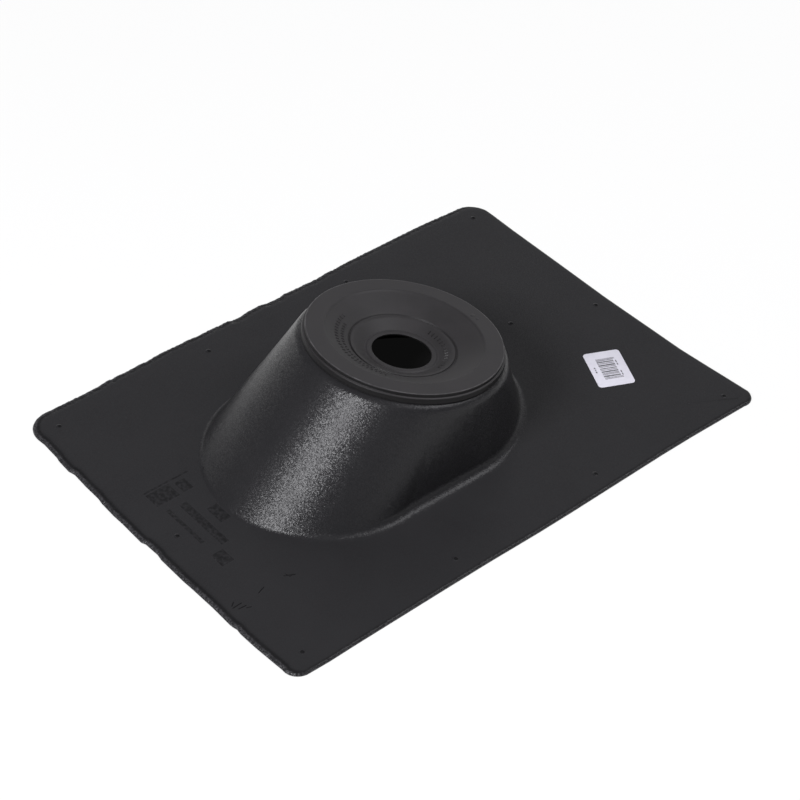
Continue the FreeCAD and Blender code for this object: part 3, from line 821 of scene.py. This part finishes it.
# The stage: a pale round floor, a pale wall all round it, and a sheet of painted shade under the hood.
# The sheet keeps the white floor from showing through the bore, and its faint glow paints the bore dark grey.
ROOM_R, WALL_TOP, ROOM_SIDES = 8.0, 1.5, 64
FLOOR_Z, SHADE_Z = -0.0003, -0.0001
turns = [2 * math.pi * k / ROOM_SIDES for k in range(ROOM_SIDES)]
circle = [(ROOM_R * math.cos(a), ROOM_R * math.sin(a)) for a in turns]
sheet = [tuple(range(ROOM_SIDES))]
stage_mesh("floor", [(x, y, FLOOR_Z) for x, y in circle], sheet,
           stage_material("floor", grey=0.9, shown=0.9))
stage_mesh("wall", [(x, y, z) for z in (FLOOR_Z, WALL_TOP) for x, y in circle],
           ring_faces(2, ROOM_SIDES, closed=False), stage_material("wall", grey=0.9, shown=1.0))
under_hood, _ = stadium(np.linspace(0, 1, ROOM_SIDES, endpoint=False), TOE, FOOT_LOW, FOOT_HIGH)
stage_mesh("shade_under_hood", [(x * MM, y * MM, SHADE_Z) for x, y, _ in under_hood], sheet,
           stage_material("shade", grey=0.02, shown=0.004))

# The room's light: dim all round, brighter from the backdrop behind the part.
BACKDROP_WAY = Vector((-0.6, 0.75, 0.28)).normalized()
LIGHT_COLOUR = (0.97, 0.97, 1)
world = bpy.data.worlds.new("studio")
bpy.context.scene.world = world
world.use_nodes = True
tree = world.node_tree
where = tree.nodes.new("ShaderNodeTexCoord")
toward = add_step(tree, "ShaderNodeVectorMath", "DOT_PRODUCT")
toward.inputs[1].default_value = BACKDROP_WAY
glow = add_node(tree, "ShaderNodeMapRange", From_Min=0.7, From_Max=0.98, To_Min=0.15, To_Max=0.7)
glow.interpolation_type = "SMOOTHSTEP"
tree.links.new(where.outputs["Generated"], toward.inputs[0])
tree.links.new(toward.outputs["Value"], glow.inputs["Value"])
tree.links.new(glow.outputs["Result"], tree.nodes["Background"].inputs["Strength"])
tree.nodes["Background"].inputs["Color"].default_value = (*LIGHT_COLOUR, 1)

# The lamps look at a point inside the hood.
LAMP_AIM = Vector((0.0, 0.0, 0.04))


def add_lamp(name, direction, distance, size, power):
    """An area lamp that stands in a direction from the part and shines at it."""
    lamp = bpy.data.lights.new(name, "AREA")
    lamp.shape = "RECTANGLE"
    lamp.size, lamp.size_y = size
    lamp.energy = power
    lamp.color = LIGHT_COLOUR
    obj = bpy.data.objects.new(name, lamp)
    way = Vector(direction).normalized()
    obj.location = LAMP_AIM + way * distance
    across = (Vector((1, 0, 0)) - way * way.x).normalized()
    obj.rotation_euler = Matrix((across, way.cross(across), way)).transposed().to_euler()
    bpy.context.scene.collection.objects.link(obj)


add_lamp("key", (0.11, -0.762, 0.64), distance=1.6, size=(0.5, 0.5), power=27)
add_lamp("top", (0.38, 0.45, 0.81), distance=1.8, size=(0.6, 1.3), power=16.5)

# The camera stands where the photograph was taken from; its place is given along its own right, up and back.
AZIMUTH, ELEVATION, ROLL = (math.radians(a) for a in (47.02, 41.74, 3.09))
CAMERA_RIGHT, CAMERA_UP, CAMERA_BACK = 5.39, 8.93, 1439.36
LENS, SENSOR = 98.055, 36
back = Vector((math.sin(AZIMUTH) * math.cos(ELEVATION), -math.cos(AZIMUTH) * math.cos(ELEVATION),
               math.sin(ELEVATION)))
level = Vector((math.cos(AZIMUTH), math.sin(AZIMUTH), 0))
upright = back.cross(level)
right = level * math.cos(ROLL) + upright * math.sin(ROLL)
up = upright * math.cos(ROLL) - level * math.sin(ROLL)
camera_data = bpy.data.cameras.new("camera")
camera_data.lens = LENS
camera_data.sensor_width = SENSOR
camera = bpy.data.objects.new("camera", camera_data)
place = (right * CAMERA_RIGHT + up * CAMERA_UP + back * CAMERA_BACK) * MM
turn = Matrix((right, up, back)).transposed().to_4x4()
camera.matrix_world = Matrix.Translation(place) @ turn
bpy.context.scene.collection.objects.link(camera)
bpy.context.scene.camera = camera

bpy.context.scene.view_settings.view_transform = "Standard"
